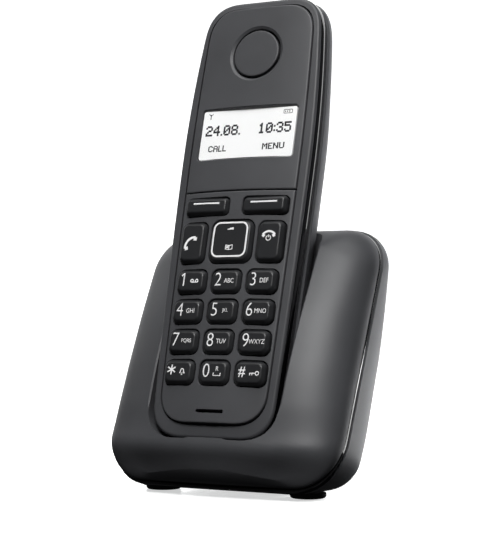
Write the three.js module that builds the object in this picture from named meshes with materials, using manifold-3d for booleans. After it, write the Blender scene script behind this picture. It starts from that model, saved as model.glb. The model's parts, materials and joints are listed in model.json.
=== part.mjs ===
// A compact cordless phone docked in its charging base, in millimetres, +Z up.
// The phone faces -Y. The handset is built in its own frame (x across, y into its thickness from
// the face, z along its length from its lower end) and is then leaned back into the base.
import * as THREE from 'three';
import { mergeVertices } from 'three/addons/utils/BufferGeometryUtils.js';
import Module from 'manifold-3d';

const wasm = await Module();
wasm.setup();

// ---- Driving dimensions -------------------------------------------------------------------

const GAP = 0.3;                                   // clearance between fitted pieces

// Handset
const HANDSET_LENGTH = 155.9;
const HANDSET_HALF_WIDTH = 24.9;                   // at its widest, WAIST_Z up the handset
const FACE_HALF_WIDTH = 21.2;                      // the two face plates, inside the shell's rim
const WAIST_Z = 100;
const HANDSET_LEAN = THREE.MathUtils.degToRad(15.2);
const HANDSET_FOOT = new THREE.Vector3(0, -1.3, 20.1);   // lower end of the face, in the base's frame
const CROWN_RADIUS = 140;                          // the face is bowed across its width
const PANEL_BACK = 2.7;
const FLOOR_FRONT = 3.0;                           // web of the front shell, behind the face plates
const FLOOR_BACK = 4.1;
const TRIM_FRONT = 3.2;                            // gloss band round the side
const TRIM_BACK = 8.6;
const TRIM_WIDTH = 2.2;                            // from the handset's side inwards
const SHADOW_GROOVE = { margin: 1, back: 10.4 };   // dark line between the band and the rear shell
const REAR_Y = 18.8;                               // back of the handset, beside the battery cover
const COVER = { x: 0, z: 55, width: 36, height: 74, radius: 7 };
const COVER_FRONT = REAR_Y + GAP;
const COVER_BACK = 22.6;
const SHELL_WALL = 1.6;
const BOARD_FRONT = 7.2;
const BOARD_BACK = 8.4;

// Face layout, heights up the handset
const PLATE_SPLIT = 85;
const EARPIECE_Z = 135.6;
const EARPIECE_RADIUS = 8.8;
const DISPLAY = { z: 106.2, width: 36.6, height: 18.4 };
const KEY_COLUMN_PITCH = 13.2;
const KEY_ROW_PITCH = 10.4;
const KEY_TOP_ROW_Z = 52.7;
const DIGIT_KEY = { width: 11.2, height: 8.3, radius: 2.4 };
const SOFT_KEY = { x: 11, z: 79.4, width: 16.6, height: 6.2, radius: 1.6 };
const CALL_KEY = { x: 14.6, z: 66.5, width: 9.6, height: 14.4, radius: 2.4 };
const NAV_KEY = { x: 0, z: 66.7, width: 16.1, height: 15.1, radius: 3.2 };
const KEY_PROUD = 0.9;
const KEY_FLANGE = 0.6;                            // how far the hidden flange stands out
const KEY_BACK = 4.9;

// Battery bay
const CELL_RADIUS = 5.25;
const CELL_LENGTH = 44.5;
const CELL_Z = 58;
const CELL_Y = 15.2;

// Base
const BASE_HALF_WIDTH = 43.3;
const BASE_TOP = 89;
const BASE_BOTTOM = 2;                             // flat underside, standing on the feet
const CHIN_EDGE = 4.2;                             // lower edge of the front shell, above the band
const BASE_LEAN = THREE.MathUtils.degToRad(26.5);  // lean of the parting line
const PART_Y = 3.5;                                // parting line at the table
const BASE_WALL = 2;
const BAND_DEPTH = 3.4;
const POCKET_HALF_WIDTH = 25.4;
const POCKET_TAPER = 1.3;                          // narrower at its foot, on each side
const POCKET_FRONT = -6;                           // in the handset's frame
const LIP_BACK = -0.5;                             // inner face of the lip under the handset's face
const LIP_TOP = 1.3;
const POCKET_BACK = 23.6;
const POCKET_FLOOR = -0.6;
const STAND_BACK = 80;
const STAND_HALF_WIDTH = 15.5;                     // at its far end
const STAND_HEIGHT = 21.5;                         // at its far end
const FOOT_RADIUS = 6;
const FRONT_FOOT = new THREE.Vector2(27.5, 18.5);
const REAR_FOOT = new THREE.Vector2(8, 72);

// ---- Materials ----------------------------------------------------------------------------

const plastic = (color, roughness, metalness = 0) =>
  new THREE.MeshStandardMaterial({ color, roughness, metalness });
const CASING = plastic(0x2b2c2f, 0.55);
const KEY_PLASTIC = plastic(0x232427, 0.4);
const GLOSS_BLACK = plastic(0x08080a, 0.08);
const CLEAR_LENS = plastic(0xdfe5e2, 0.05);
const LCD_GLASS = plastic(0xe4e8e3, 0.3);
const SILICONE = plastic(0x9a9da1, 0.7);
const RUBBER = plastic(0x111112, 0.9);
const FIBREGLASS = plastic(0x1f5a34, 0.5);
const SPRING_METAL = plastic(0xc9b27a, 0.3, 1);
const STEEL = plastic(0xb8babd, 0.3, 1);
const CELL_SLEEVE = plastic(0x3f7a4c, 0.35);
const SOCKET_PLASTIC = plastic(0x18181a, 0.6);

// ---- Solids -------------------------------------------------------------------------------

// A closed geometry as a solid that can be cut and joined.
function solid(geometry) {
  const bare = geometry.clone();
  bare.deleteAttribute('normal');
  bare.deleteAttribute('uv');
  const merged = mergeVertices(bare, 1e-4);
  return new wasm.Manifold(new wasm.Mesh({
    numProp: 3,
    vertProperties: new Float32Array(merged.attributes.position.array),
    triVerts: new Uint32Array(merged.index.array),
  }));
}

function toGeometry(shape) {
  const mesh = shape.getMesh();
  const geometry = new THREE.BufferGeometry();
  geometry.setAttribute('position', new THREE.BufferAttribute(mesh.vertProperties, 3));
  geometry.setIndex(new THREE.BufferAttribute(mesh.triVerts, 1));
  geometry.computeVertexNormals();
  return geometry;
}

const cut = (body, ...tools) => tools.reduce((left, tool) => left.subtract(tool), body);
const join = (body, ...others) => others.reduce((whole, other) => whole.add(other), body);

// Adds a named piece to a group.
function add(group, name, shape, material) {
  const geometry = shape.isBufferGeometry ? shape : toGeometry(shape);
  const mesh = new THREE.Mesh(geometry, material);
  mesh.name = name;
  group.add(mesh);
}

const box = (x0, x1, y0, y1, z0, z1) => solid(
  new THREE.BoxGeometry(x1 - x0, y1 - y0, z1 - z0)
    .translate((x0 + x1) / 2, (y0 + y1) / 2, (z0 + z1) / 2));

// A cylinder along the depth (y) of a piece, and one along its height (z).
const discY = (x, z, radius, y0, y1, sides = 32) => solid(
  new THREE.CylinderGeometry(radius, radius, y1 - y0, sides).translate(x, (y0 + y1) / 2, z));
const discZ = (x, y, radius, z0, z1, sides = 24) => solid(
  new THREE.CylinderGeometry(radius, radius, z1 - z0, sides)
    .rotateX(Math.PI / 2).translate(x, y, (z0 + z1) / 2));

// A closed skin through a stack of rings with equal numbers of points. Each ring runs up its right
// side and down its left side, and the end rings are capped by rungs from side to side.
function stackedRings(rings) {
  const count = rings[0].length;
  const positions = rings.flat().flatMap((p) => [p.x, p.y, p.z]);
  const faces = [];
  for (let r = 0; r + 1 < rings.length; r++) {
    for (let i = 0; i < count; i++) {
      const j = (i + 1) % count;
      const [a, b, c, d] = [r * count + i, r * count + j, (r + 1) * count + j, (r + 1) * count + i];
      faces.push([a, b, c], [a, c, d]);
    }
  }
  const last = (rings.length - 1) * count;
  for (let i = 0; i + 1 < count / 2; i++) {
    const [a, b, c, d] = [i, i + 1, count - 2 - i, count - 1 - i];
    faces.push([a, c, b], [a, d, c], [last + a, last + b, last + c], [last + a, last + c, last + d]);
  }
  const at = (i) => new THREE.Vector3().fromArray(positions, 3 * i);
  const volume = faces.reduce((sum, [a, b, c]) => sum + at(a).dot(at(b).cross(at(c))), 0);
  const outward = volume > 0 ? faces : faces.map(([a, b, c]) => [a, c, b]);
  const geometry = new THREE.BufferGeometry();
  geometry.setAttribute('position', new THREE.Float32BufferAttribute(positions, 3));
  geometry.setIndex(outward.flat());
  return solid(geometry);
}

// The right half of a rounded outline, mirrored: its half width may vary with height, and its
// corners are superellipses, rounder than a circle's where `squareness` is above 2.
function outline({ x = 0, bottom, top, halfWidth, bottomRadius, topRadius, squareness = 2, steps = 5,
  sideSteps = 0 }) {
  const arc = (t) => {
    const c = Math.cos(t * Math.PI / 2) ** (2 / squareness);
    const s = Math.sin(t * Math.PI / 2) ** (2 / squareness);
    return [c, s];
  };
  const right = [];
  for (let i = 0; i <= steps; i++) {
    const [c, s] = arc(1 - i / steps);
    const z = bottom + bottomRadius * (1 - s);
    right.push([halfWidth(z) - bottomRadius * (1 - c), z]);
  }
  const low = bottom + bottomRadius;
  const high = top - topRadius;
  for (let i = 1; i <= sideSteps; i++) {
    const z = low + (high - low) * i / (sideSteps + 1);
    right.push([halfWidth(z), z]);
  }
  for (let i = 0; i <= steps; i++) {
    const [c, s] = arc(i / steps);
    const z = high + topRadius * s;
    right.push([halfWidth(z) - topRadius * (1 - c), z]);
  }
  const left = right.map(([px, pz]) => [-px, pz]).reverse();
  return [...right, ...left].map(([px, pz]) => new THREE.Vector2(x + px, pz));
}

// The same outline drawn in by a margin (a negative margin draws it out).
function shrunk(spec, margin) {
  const limit = (radius) => Math.max(0.2, radius - 0.8 * margin);
  return {
    ...spec,
    bottom: spec.bottom + margin,
    top: spec.top - margin,
    halfWidth: (z) => spec.halfWidth(z) - margin,
    bottomRadius: limit(spec.bottomRadius),
    topRadius: limit(spec.topRadius),
  };
}

// The handset's top end is level when docked, so towards its back it reaches further up.
const TOP_END_Z = 146;
const topRise = (y, z) => Math.tan(HANDSET_LEAN) * Math.max(0, y)
  * Math.max(0, (z - TOP_END_Z) / (HANDSET_LENGTH - TOP_END_Z));

// Rings of one outline at several depths. Each layer is [margin, depth], and a depth is a number
// or a function of the point.
const layered = (spec, layers) => stackedRings(layers.map(([margin, depth]) =>
  outline(shrunk(spec, margin)).map((p) => {
    const y = typeof depth === 'function' ? depth(p.x, p.y) : depth;
    return new THREE.Vector3(p.x, y, p.y + topRise(y, p.y));
  })));

const plate = (spec, y0, y1, margin = 0) => layered(spec, [[margin, y0], [margin, y1]]);

// A value read off a few points of a profile, in straight steps.
function along(points, at) {
  const next = points.findIndex(([position]) => position > at);
  if (next < 0) return points.at(-1)[1];
  if (next === 0) return points[0][1];
  const [[p0, v0], [p1, v1]] = [points[next - 1], points[next]];
  return THREE.MathUtils.mapLinear(at, p0, p1, v0, v1);
}

// ---- Handset outlines ---------------------------------------------------------------------

// Half width at a height: widest at the waist, narrower at both ends.
const tapered = (widest, lowerTaper, upperTaper) => (z) => {
  const below = Math.max(0, (WAIST_Z - z) / WAIST_Z);
  const above = Math.max(0, (z - WAIST_Z) / (HANDSET_LENGTH - WAIST_Z));
  return widest - lowerTaper * below ** 1.5 - upperTaper * above ** 2;
};

const HANDSET = {
  bottom: 0, top: HANDSET_LENGTH, halfWidth: tapered(HANDSET_HALF_WIDTH, 2.6, 3.4),
  bottomRadius: 12.5, topRadius: 12, squareness: 2.6, steps: 5, sideSteps: 4,
};

// Outline of the two face plates together, inside the rim of the front shell.
const FACE = {
  bottom: 4.8, top: 153.2,
  halfWidth: tapered(FACE_HALF_WIDTH, 1.9, 1.6),
  bottomRadius: 11, topRadius: 10.5, squareness: 2.4, steps: 5, sideSteps: 4,
};

// Depth of the handset's back: level behind the battery, thinner towards both ends.
const backDepth = (z) => along([
  [0, 15], [6, 17.6], [14, REAR_Y], [104, REAR_Y], [125, 17.4], [150, 16.4], [HANDSET_LENGTH, 15],
], z);

function rectangle({ x = 0, z, width, height, radius, steps = 2 }) {
  return {
    x, bottom: z - height / 2, top: z + height / 2, halfWidth: () => width / 2,
    bottomRadius: radius, topRadius: radius, steps,
  };
}

// ---- Keys ---------------------------------------------------------------------------------

// A key: a crowned cap that stands through the face plate, with a flange behind the web.
function keyCap(spec) {
  return layered(spec, [
    [1.3, -KEY_PROUD], [0.5, -KEY_PROUD + 0.25], [0, 0.2],
    [0, FLOOR_BACK + GAP], [-KEY_FLANGE, FLOOR_BACK + GAP], [-KEY_FLANGE, KEY_BACK],
  ]);
}

const DIGIT_NAMES = [
  ['key_1', 'key_2', 'key_3'],
  ['key_4', 'key_5', 'key_6'],
  ['key_7', 'key_8', 'key_9'],
  ['key_star', 'key_0', 'key_hash'],
];

// Every key of the handset, by name, as the outline of its cap.
function keyOutlines() {
  const keys = {};
  DIGIT_NAMES.forEach((row, r) => row.forEach((name, c) => {
    keys[name] = rectangle({
      ...DIGIT_KEY, x: (c - 1) * KEY_COLUMN_PITCH, z: KEY_TOP_ROW_Z - r * KEY_ROW_PITCH,
    });
  }));
  keys.soft_key_left = rectangle({ ...SOFT_KEY, x: -SOFT_KEY.x });
  keys.soft_key_right = rectangle(SOFT_KEY);
  keys.talk_key = rectangle({ ...CALL_KEY, x: -CALL_KEY.x });
  keys.end_key = rectangle(CALL_KEY);
  keys.nav_key = rectangle({ ...NAV_KEY, steps: 3 });
  return keys;
}

// ---- Handset ------------------------------------------------------------------------------

// Everything behind the bowed face, as a tool for cutting the plates to the bow.
function bowedFront() {
  const reach = 30;
  const steps = 12;
  const bow = new THREE.Shape();
  bow.moveTo(-reach, 40);
  for (let i = 0; i <= steps; i++) {
    const x = reach * (2 * i / steps - 1);
    bow.lineTo(x, x * x / (2 * CROWN_RADIUS));
  }
  bow.lineTo(reach, 40);
  return solid(new THREE.ExtrudeGeometry(bow, { depth: 200, bevelEnabled: false }).translate(0, 0, -20));
}

const apertures = (keys, y0, y1) => Object.values(keys).map((spec) => plate(spec, y0, y1, -GAP));
const DISPLAY_OPENING = rectangle({ ...DISPLAY, radius: 1 });
const MIC_SLOT = rectangle({ z: 8.7, width: 10.2, height: 1.1, radius: 0.5, steps: 2 });

function facePlates(group, keys) {
  const blank = plate(FACE, -1, PANEL_BACK).intersect(bowedFront());
  const upperHalf = box(-30, 30, -5, 10, PLATE_SPLIT + GAP / 2, 170);
  const lowerHalf = box(-30, 30, -5, 10, -5, PLATE_SPLIT - GAP / 2);
  const display = cut(
    blank.intersect(upperHalf),
    plate(DISPLAY_OPENING, -2, 6, -GAP),
    discY(0, EARPIECE_Z, EARPIECE_RADIUS + 0.9, -2, 1.9, 40),
    discY(0, EARPIECE_Z, 4, -2, 6));
  add(group, 'display_panel', display, CASING);
  const keypad = cut(blank.intersect(lowerHalf), ...apertures(keys, -2, 6), plate(MIC_SLOT, -2, 6));
  add(group, 'keypad_panel', keypad, CASING);
}

function frontShell(group, keys) {
  const outer = layered(HANDSET, [
    [3.4, 1.75], [1.3, 1.85], [0.4, 2.2], [0, TRIM_FRONT - GAP / 2],
    [TRIM_WIDTH + GAP, TRIM_FRONT - GAP / 2], [TRIM_WIDTH + GAP, FLOOR_BACK],
  ]);
  const seat = plate(shrunk(FACE, -GAP), -2, FLOOR_FRONT);
  const shell = cut(
    outer, seat,
    ...apertures(keys, 0, 6),
    plate(DISPLAY_OPENING, 0, 6, -GAP),
    discY(0, EARPIECE_Z, 4.4, 0, 6),
    plate(MIC_SLOT, 0, 6));
  add(group, 'handset_front_shell', shell, CASING);
}

function sideTrim(group) {
  const ring = cut(
    plate(HANDSET, TRIM_FRONT + GAP / 2, TRIM_BACK - GAP / 2, 0.2),
    plate(HANDSET, TRIM_FRONT - 1, TRIM_BACK + 1, TRIM_WIDTH));
  add(group, 'handset_side_trim', ring, GLOSS_BLACK);
}

const ACROSS_CELLS = 2 * CELL_RADIUS + 0.6;        // half width of the battery well
const WELL_LOW = CELL_Z - CELL_LENGTH / 2 - 6;
const WELL_HIGH = CELL_Z + CELL_LENGTH / 2 + 4;
const SCREW = { x: 15, z: 24 };

// Rear shell: a tray with a shadow groove at its front edge and a well for the two cells.
function rearShell(group) {
  const front = TRIM_BACK + GAP / 2;
  const start = SHADOW_GROOVE.back;
  const depth = (part) => (x, z) => start + (backDepth(z) - start) * part;
  const outer = layered(HANDSET, [
    [SHADOW_GROOVE.margin, front], [SHADOW_GROOVE.margin, start], [0.1, start],
    [0.3, depth(0.3)], [1.3, depth(0.65)], [3, depth(0.88)], [5.5, depth(1)],
  ]);
  const hollow = layered(HANDSET, [
    [2.8, 0], [2.8, depth(0.3)], [6, depth(0.72)],
  ]);
  const well = box(-ACROSS_CELLS - 1.4, ACROSS_CELLS + 1.4, BOARD_BACK + 0.4, REAR_Y - 1,
    WELL_LOW - 1.4, WELL_HIGH + 1.4);
  const cells = box(-ACROSS_CELLS, ACROSS_CELLS, BOARD_BACK + 1.4, 30, WELL_LOW, WELL_HIGH);
  const screws = [-1, 1].map((side) => discY(side * SCREW.x, SCREW.z, 2.2, 14, 20, 16));
  const shell = cut(
    join(cut(outer, hollow), well), cells, ...screws, chargeStripRecess(-1), chargeStripRecess(1));
  add(group, 'handset_rear_shell', shell, CASING);
}

const STRIP = { x: 7.5, width: 4.4, y0: 11.4, y1: 17 };
const chargeStripRecess = (side) => box(
  side * STRIP.x - STRIP.width / 2 - GAP, side * STRIP.x + STRIP.width / 2 + GAP,
  STRIP.y0 - GAP, STRIP.y1 + GAP, -1, 0.9);

function chargeStrips(group) {
  [['charge_strip_left', -1], ['charge_strip_right', 1]].forEach(([name, side]) => {
    const strip = box(
      side * STRIP.x - STRIP.width / 2, side * STRIP.x + STRIP.width / 2, STRIP.y0, STRIP.y1, 0, 0.6);
    add(group, name, strip, STEEL);
  });
}

// Battery cover: a shallow lid on the flat back, which slides up over it.
function batteryCover(group) {
  const spec = rectangle({ ...COVER, steps: 4 });
  const outer = layered(spec, [
    [0, COVER_FRONT], [0.2, COVER_FRONT + 1.4], [1.2, COVER_FRONT + 2.6], [3, COVER_BACK - 0.2], [5, COVER_BACK],
  ]);
  const inner = layered(spec, [
    [SHELL_WALL, COVER_FRONT - 1], [SHELL_WALL, COVER_FRONT + 1], [SHELL_WALL + 1.6, COVER_BACK - 1.4],
  ]);
  add(group, 'battery_cover', cut(outer, inner), CASING);
}

function batteryCells(group) {
  const half = CELL_LENGTH / 2;
  const nub = 1.9;
  const profile = [[0, -half], [CELL_RADIUS - 0.4, -half], [CELL_RADIUS, -half + 0.4],
    [CELL_RADIUS, half - 1.6], [CELL_RADIUS - 0.6, half - 1], [nub, half - 1], [nub, half], [0, half]];
  [-1, 1].forEach((side, i) => {
    const cell = new THREE.LatheGeometry(profile.map(([r, z]) => new THREE.Vector2(r, z)), 18)
      .rotateX(Math.PI / 2)
      .translate(side * (CELL_RADIUS + 0.15), CELL_Y, CELL_Z);
    add(group, `battery_cell_${i + 1}`, solid(cell), CELL_SLEEVE);
  });
}

// A conical coil spring at the lower end of each cell.
function batterySprings(group) {
  const low = CELL_Z - CELL_LENGTH / 2 - 5.3;
  const length = 4.6;
  const turns = 3;
  const steps = 21;
  [-1, 1].forEach((side, i) => {
    const points = [];
    for (let k = 0; k <= steps; k++) {
      const t = k / steps;
      const radius = 3.6 - 1.4 * t;
      points.push(new THREE.Vector3(
        side * (CELL_RADIUS + 0.15) + radius * Math.cos(t * turns * 2 * Math.PI),
        CELL_Y + radius * Math.sin(t * turns * 2 * Math.PI),
        low + 0.4 + (length - 0.8) * t));
    }
    const wire = new THREE.Shape();
    wire.absarc(0, 0, 0.35, 0, 2 * Math.PI);
    const coil = new THREE.ExtrudeGeometry(wire, {
      steps, bevelEnabled: false, curveSegments: 3, extrudePath: new THREE.CatmullRomCurve3(points),
    });
    add(group, `battery_spring_${i + 1}`, solid(coil), SPRING_METAL);
  });
}

// Strip that joins the upper ends of the two cells.
function batteryContactPlate(group) {
  const low = CELL_Z + CELL_LENGTH / 2 + GAP;
  add(group, 'battery_contact_plate', box(-9, 9, 11, 19, low, low + 0.6), SPRING_METAL);
}

function handsetInsides(group) {
  const boardSpec = shrunk(HANDSET, 4.2);
  const board = cut(
    plate({ ...boardSpec, steps: 3 }, BOARD_FRONT, BOARD_BACK), discY(0, EARPIECE_Z, 8.3, 5, 10, 28));
  add(group, 'handset_circuit_board', board, FIBREGLASS);
  add(group, 'keypad_mat',
    plate(rectangle({ z: 50, width: 40, height: 74, radius: 4 }), 5.95, 6.75), SILICONE);
  add(group, 'lcd_module',
    plate(rectangle({ ...DISPLAY, width: 40, height: 22, radius: 0.8, steps: 1 }),
      FLOOR_BACK + GAP, 6.9), LCD_GLASS);
  add(group, 'earpiece_receiver', discY(0, EARPIECE_Z, 7.6, FLOOR_BACK + GAP, 9.4, 28), STEEL);
  add(group, 'microphone_capsule', discY(0, 8.7, 2.6, FLOOR_BACK + GAP, 6.9, 16), STEEL);
  add(group, 'ringer_speaker', discY(0, 108, 8, BOARD_BACK + GAP, 12.8, 28), STEEL);
  add(group, 'handset_antenna', box(-17, 17, BOARD_BACK + GAP, BOARD_BACK + 0.9, 146.2, 148.6), SPRING_METAL);
}

function handsetScrews(group) {
  [['handset_screw_left', -1], ['handset_screw_right', 1]].forEach(([name, side]) => {
    const head = discY(side * SCREW.x, SCREW.z, 1.9, 17.2, 18.2, 16);
    const shank = discY(side * SCREW.x, SCREW.z, 0.9, 9.2, 17.3, 12);
    add(group, name, join(head, shank), STEEL);
  });
}

function earpieceCap(group) {
  const bow = (x) => x * x / (2 * CROWN_RADIUS) + 0.15;
  const cap = solid(new THREE.CylinderGeometry(EARPIECE_RADIUS, EARPIECE_RADIUS, 1.3, 36)
    .translate(0, 0.95, EARPIECE_Z));
  const stem = discY(0, EARPIECE_Z, 3.4, 1.2, 3.6, 24);
  const face = bowedFront().translate([0, bow(0), 0]);
  add(group, 'earpiece_cap', join(cap, stem).intersect(face), CASING);
}

function displayWindow(group) {
  const lens = plate(rectangle({ ...DISPLAY, radius: 1 }), 0.1, 3.6).intersect(bowedFront());
  add(group, 'display_window', lens, CLEAR_LENS);
}

function makeHandset() {
  const handset = new THREE.Group();
  const keys = keyOutlines();
  frontShell(handset, keys);
  facePlates(handset, keys);
  earpieceCap(handset);
  displayWindow(handset);
  Object.entries(keys).forEach(([name, spec]) => add(handset, name, keyCap(spec), KEY_PLASTIC));
  sideTrim(handset);
  rearShell(handset);
  batteryCover(handset);
  batteryCells(handset);
  batterySprings(handset);
  batteryContactPlate(handset);
  handsetInsides(handset);
  handsetScrews(handset);
  chargeStrips(handset);
  return handset;
}

// ---- Base ---------------------------------------------------------------------------------

const BASE = {
  bottom: BASE_BOTTOM, top: BASE_TOP, halfWidth: () => BASE_HALF_WIDTH,
  bottomRadius: 17, topRadius: 14.5, squareness: 2.1, steps: 5, sideSteps: 8,
  squaring: 7,                                     // the lower corners are tighter at the back
};
const BAND = { ...BASE, bottom: BASE_BOTTOM + 0.4, squaring: 0 };
const FRONT = { ...BASE, bottom: CHIN_EDGE, bottomRadius: 16, squaring: 0 };

const partingY = (z) => PART_Y + z * Math.tan(BASE_LEAN);

// How far the front stands before the parting line, and the back behind it, by height.
const FRONT_REACH = [[2, 4], [6, 6.6], [12, 11.4], [18, 16.2], [21, 16], [32, 17.8], [45, 18.8],
  [58, 19], [72, 17.6], [84, 15.5], [BASE_TOP, 13]];
const BACK_REACH = [[2, 20], [10, 23], [19, 24], [31, 23.3], [45, 22], [58, 19.5], [77, 13.6], [BASE_TOP, 8]];
// How much the front bows back towards the sides, at the chin.
const CHIN_BOW = [[2, 2.6], [10, 2.2], [16, 1.2], [30, 0.9], [45, 0.2], [BASE_TOP, 0]];

// Rings of the base at a share of its front or back reach. Top and bottom margins are smaller than
// side margins, so that the top and bottom edges are tighter than the flanks.
function baseRings(whole, layers, wall, depth) {
  return stackedRings(layers.map(([margin, share]) => {
    const spec = shrunk(whole, wall);
    const ring = outline({
      ...spec, bottomRadius: spec.bottomRadius - whole.squaring * share,
      bottom: spec.bottom + 0.15 * margin, top: spec.top - 0.35 * margin,
      halfWidth: () => BASE_HALF_WIDTH - wall - margin,
    });
    return ring.map((p) => new THREE.Vector3(p.x, depth(p.x, p.y, share), p.y));
  }));
}

const frontDepth = (wall) => (x, z, share) => {
  const reach = along(FRONT_REACH, z) - wall;
  const bow = along(CHIN_BOW, z) * Math.min(1, (x / POCKET_HALF_WIDTH) ** 2);
  return partingY(z) - share * (reach - bow);
};

// Across the front the section is a superellipse, from the parting line at the sides to the middle.
const FRONT_LAYERS = [0, 0.125, 0.25, 0.375, 0.5, 0.625, 0.76, 0.91].map((t) => {
  const power = 2 / 2.3;
  const angle = t * Math.PI / 2;
  return [BASE_HALF_WIDTH * (1 - Math.cos(angle) ** power), Math.sin(angle) ** power];
});
const BACK_LAYERS = [[0, 0], [0.2, 0.55], [0.8, 0.82], [2, 0.95], [4.6, 1]];

function baseFront(wall, layers = FRONT_LAYERS) {
  return baseRings(FRONT, layers, wall, frontDepth(wall));
}

function baseBack(wall, start) {
  const depth = (x, z, share) => partingY(z) + start + share * (along(BACK_REACH, z) - wall - start);
  return baseRings(BASE, BACK_LAYERS, wall, depth);
}

// Turns a solid from the handset's frame into the base's.
function leaned(shape) {
  const degrees = THREE.MathUtils.radToDeg(-HANDSET_LEAN);
  return shape.rotate([degrees, 0, 0]).translate(HANDSET_FOOT.toArray());
}

// Space for the docked handset, open along the handset's own axis so that it lifts straight out.
function pocket(grow) {
  const halfWidth = (z) => POCKET_HALF_WIDTH - POCKET_TAPER * Math.max(0, 1 - Math.max(0, z) / 50) + grow;
  const spec = (bottom) => ({
    bottom: bottom - grow, top: 150, halfWidth, bottomRadius: 12 + grow / 2, topRadius: 2,
    squareness: 2.3, steps: 6, sideSteps: 3,
  });
  const back = POCKET_BACK + grow;
  const well = layered(spec(POCKET_FLOOR), [
    [0, LIP_BACK - grow], [0, back - 9], [1.2, back - 4], [3.4, back - 1], [7, back],
  ]);
  const mouth = layered(spec(LIP_TOP), [[0, POCKET_FRONT - grow], [0, LIP_BACK + 3]]);
  return leaned(join(well, mouth));
}

const CONTACT = { x: STRIP.x, width: 3, y0: 12.4, y1: 16 };

function contactSlot(side) {
  return leaned(box(
    side * CONTACT.x - CONTACT.width / 2 - GAP, side * CONTACT.x + CONTACT.width / 2 + GAP,
    CONTACT.y0 - GAP, CONTACT.y1 + GAP, -6, 4));
}

// Half-space on one side of the parting surface, as a cutting tool.
function partingTool(y0, y1) {
  const side = new THREE.Shape();
  const [low, high] = [-10, 100];
  side.moveTo(partingY(low) + y0, low);
  side.lineTo(partingY(low) + y1, low);
  side.lineTo(partingY(high) + y1, high);
  side.lineTo(partingY(high) + y0, high);
  return solid(new THREE.ExtrudeGeometry(side, { depth: 120, bevelEnabled: false })
    .rotateX(Math.PI / 2).rotateZ(Math.PI / 2).translate(-60, 0, 0));
}

function baseFrontShell(group) {
  const outer = cut(baseFront(0), box(-60, 60, -60, 90, -10, BASE_BOTTOM));
  const hollow = cut(baseFront(BASE_WALL, [[0, -0.1], ...FRONT_LAYERS]), pocket(1.8));
  const behind = partingTool(-1, 60);
  const tub = cut(pocket(1.8), pocket(0)).intersect(behind)
    .intersect(box(-60, 60, -60, 90, 0, BASE_TOP - 6));
  const shell = cut(join(cut(outer, hollow), tub), pocket(0), contactSlot(-1), contactSlot(1));
  add(group, 'base_front_shell', shell, CASING);
}

function baseTrimBand(group) {
  const outer = baseRings(BAND, [[0.3, 0], [0.3, 1]], 0,
    (x, z, share) => partingY(z) + GAP + share * (BAND_DEPTH - GAP));
  const inner = baseRings(BAND, [[0, -1], [0, 2]], 2.8,
    (x, z, share) => partingY(z) + share * BAND_DEPTH);
  const ring = cut(outer, inner, pocket(1.8 + GAP));
  add(group, 'base_trim_band', ring, GLOSS_BLACK);
}

// Wedge behind the slab that keeps the base from tipping back.
function standWedge(grow) {
  const [front, back] = [24, STAND_BACK + grow];
  const wide = 24 + grow;
  const narrow = STAND_HALF_WIDTH + grow;
  const section = (y, half, high) => [
    [-half, BASE_BOTTOM - grow], [half, BASE_BOTTOM - grow],
    [half, high - 5], [half - 1.5, high - 1.5], [half - 5, high],
    [5 - half, high], [1.5 - half, high - 1.5], [-half, high - 5],
  ].map(([x, z]) => new THREE.Vector3(x, y, z));
  return stackedRings([
    section(front, wide, 40 + grow), section(back - 4, narrow + 1, STAND_HEIGHT + 1 + grow),
    section(back, narrow - 0.5, STAND_HEIGHT - 0.5 + grow),
  ]);
}

const SOCKETS = {
  line_socket: { x: -5.6, width: 12.4, mouthWidth: 9.8, mouthHeight: 7 },
  power_socket: { x: 7.2, width: 9.6, mouthWidth: 6.8, mouthHeight: 6.6 },
};
const SOCKET_FRONT = 64;
const SOCKET_BACK = STAND_BACK - BASE_WALL - GAP;
const BASE_BOARD_LOW = 5.2;
const BASE_BOARD_HIGH = 6.6;
const SOCKET_LOW = BASE_BOARD_HIGH + GAP;
const SOCKET_HIGH = 17.2;
const PAGING = { y: 54, radius: 4.4 };

const socketMouth = ({ x, mouthWidth, mouthHeight }, y0, y1) => box(
  x - mouthWidth / 2, x + mouthWidth / 2, y0, y1, SOCKET_LOW + 1.6, SOCKET_LOW + 1.6 + mouthHeight);

function baseRearShell(group) {
  const floorCut = box(-60, 60, -60, 120, -20, BASE_BOTTOM);
  const outer = join(baseBack(0, BAND_DEPTH + GAP), standWedge(0));
  const cavity = join(baseBack(BASE_WALL, -6), standWedge(-BASE_WALL));
  const mouths = Object.values(SOCKETS).map((socket) => socketMouth(socket, SOCKET_FRONT, STAND_BACK + 5));
  const shell = cut(
    outer, cavity, floorCut, partingTool(-60, BAND_DEPTH + GAP), pocket(1.8 + GAP), ...mouths,
    discZ(0, PAGING.y, PAGING.radius + GAP, 12, 38, 28),
    ...[-1, 1].map((side) => discZ(side * 15, 40, 1.9, 0, 6, 16)));
  add(group, 'base_rear_shell', shell, CASING);
}

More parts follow.
